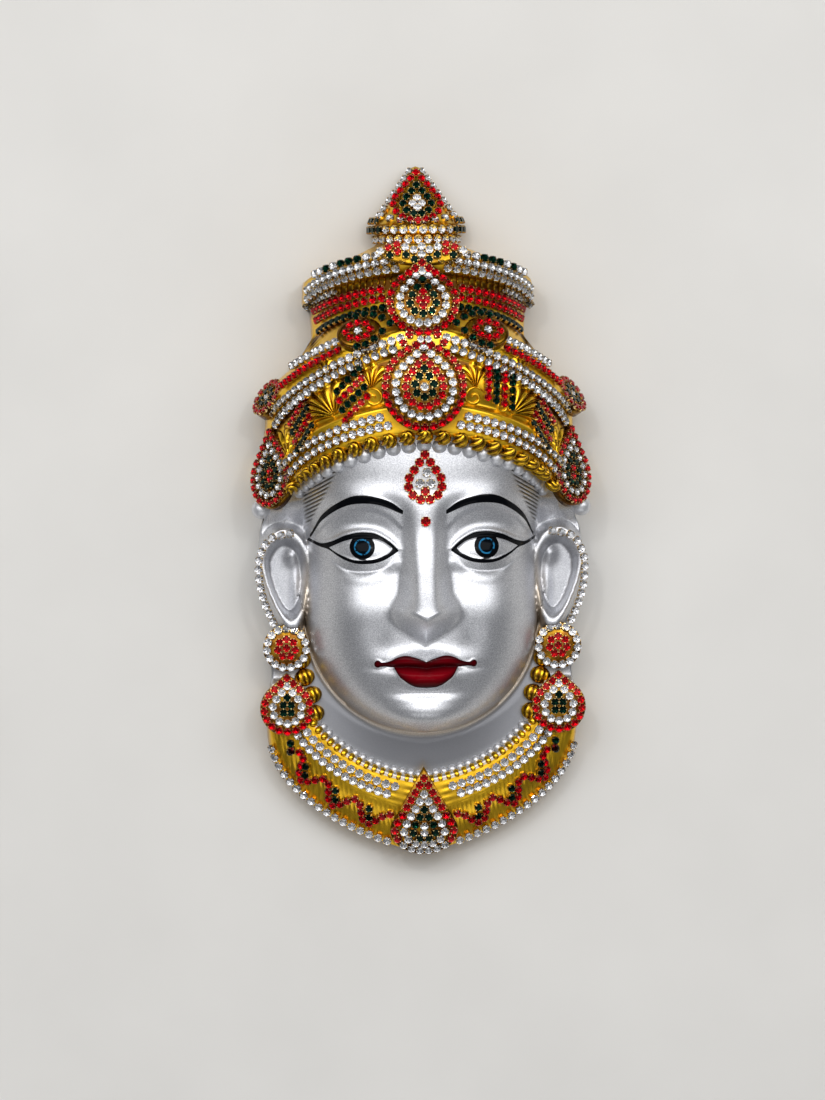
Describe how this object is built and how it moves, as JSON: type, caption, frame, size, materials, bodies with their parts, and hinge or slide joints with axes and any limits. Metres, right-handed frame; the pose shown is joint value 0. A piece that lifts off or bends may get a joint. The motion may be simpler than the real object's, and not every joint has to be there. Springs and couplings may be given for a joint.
{
  "type": "deity face mask",
  "caption": "Hollow face mask of a goddess with a tall tiered crown and a necklace, silver and gold over cast resin, set with strands of glass stones; open at the back.",
  "frame": {"origin": "middle of the mask's outline, in the plane of its back rim", "axes": "+X across the face to the viewer's right, +Y towards the crown's tip, +Z out of the face; it lies face up on its back rim"},
  "size_m": [0.1118, 0.2286, 0.0576],
  "materials": {
    "cast_resin": "silver flake paint with gold lacquer on the crown and necklace, satin to gloss",
    "gold_lacquer": "yellow gold lacquer, glossy",
    "stone_cups": "gilt cups with bright claws",
    "clear_stones": "clear faceted glass over foil",
    "red_stones": "red faceted glass over foil",
    "green_stones": "very dark green faceted glass over foil"
  },
  "bodies": {
    "root": {"mask_body": "cast_resin", "finial_jewel": "red_stones", "finial_rim_chain": "clear_stones", "finial_neck_chain": "clear_stones", "roof_stones_left": "green_stones", "roof_stones_right": "green_stones", "roof_flower": "clear_stones", "rim_chain_upper_left": "clear_stones", "rim_chain_upper_right": "clear_stones", "rim_chain_lower_left": "clear_stones", "rim_chain_lower_right": "clear_stones", "drum_red_band_left": "red_stones", "drum_red_band_right": "red_stones", "drum_green_chain_left": "green_stones", "drum_green_chain_right": "green_stones", "upper_teardrop_stones": "red_stones", "lower_medallion_stones": "red_stones", "lotus_stones_left": "red_stones", "lotus_stones_right": "red_stones", "arch_chain_outer_left": "clear_stones", "arch_chain_outer_right": "clear_stones", "arch_chain_inner_left": "clear_stones", "arch_chain_inner_right": "clear_stones", "arch_red_chain_left": "red_stones", "arch_red_chain_right": "red_stones", "shoulder_chain_left": "clear_stones", "shoulder_chain_right": "clear_stones", "stripe_stones_inner_left": "red_stones", "stripe_stones_inner_right": "red_stones", "stripe_stones_outer_left": "red_stones", "stripe_stones_outer_right": "red_stones", "side_rosette_left": "red_stones", "side_rosette_right": "red_stones", "side_teardrop_left": "red_stones", "side_teardrop_right": "red_stones", "brow_chain_upper_left": "clear_stones", "brow_chain_upper_right": "clear_stones", "brow_chain_lower_left": "clear_stones", "brow_chain_lower_right": "clear_stones", "bindi_stones": "red_stones", "forehead_stone": "red_stones", "ear_chain_left": "clear_stones", "ear_chain_right": "clear_stones", "ear_stud_stones_left": "clear_stones", "ear_stud_stones_right": "clear_stones", "ear_drop_stones_left": "red_stones", "ear_drop_stones_right": "red_stones", "collar_chain_inner_left": "clear_stones", "collar_chain_inner_right": "clear_stones", "collar_chain_outer_left": "clear_stones", "collar_chain_outer_right": "clear_stones", "necklace_edge_chain_left": "clear_stones", "necklace_edge_chain_right": "clear_stones", "zigzag_chain_left": "red_stones", "zigzag_chain_right": "red_stones", "pendant_stones": "clear_stones"}
  },
  "joints": []
}
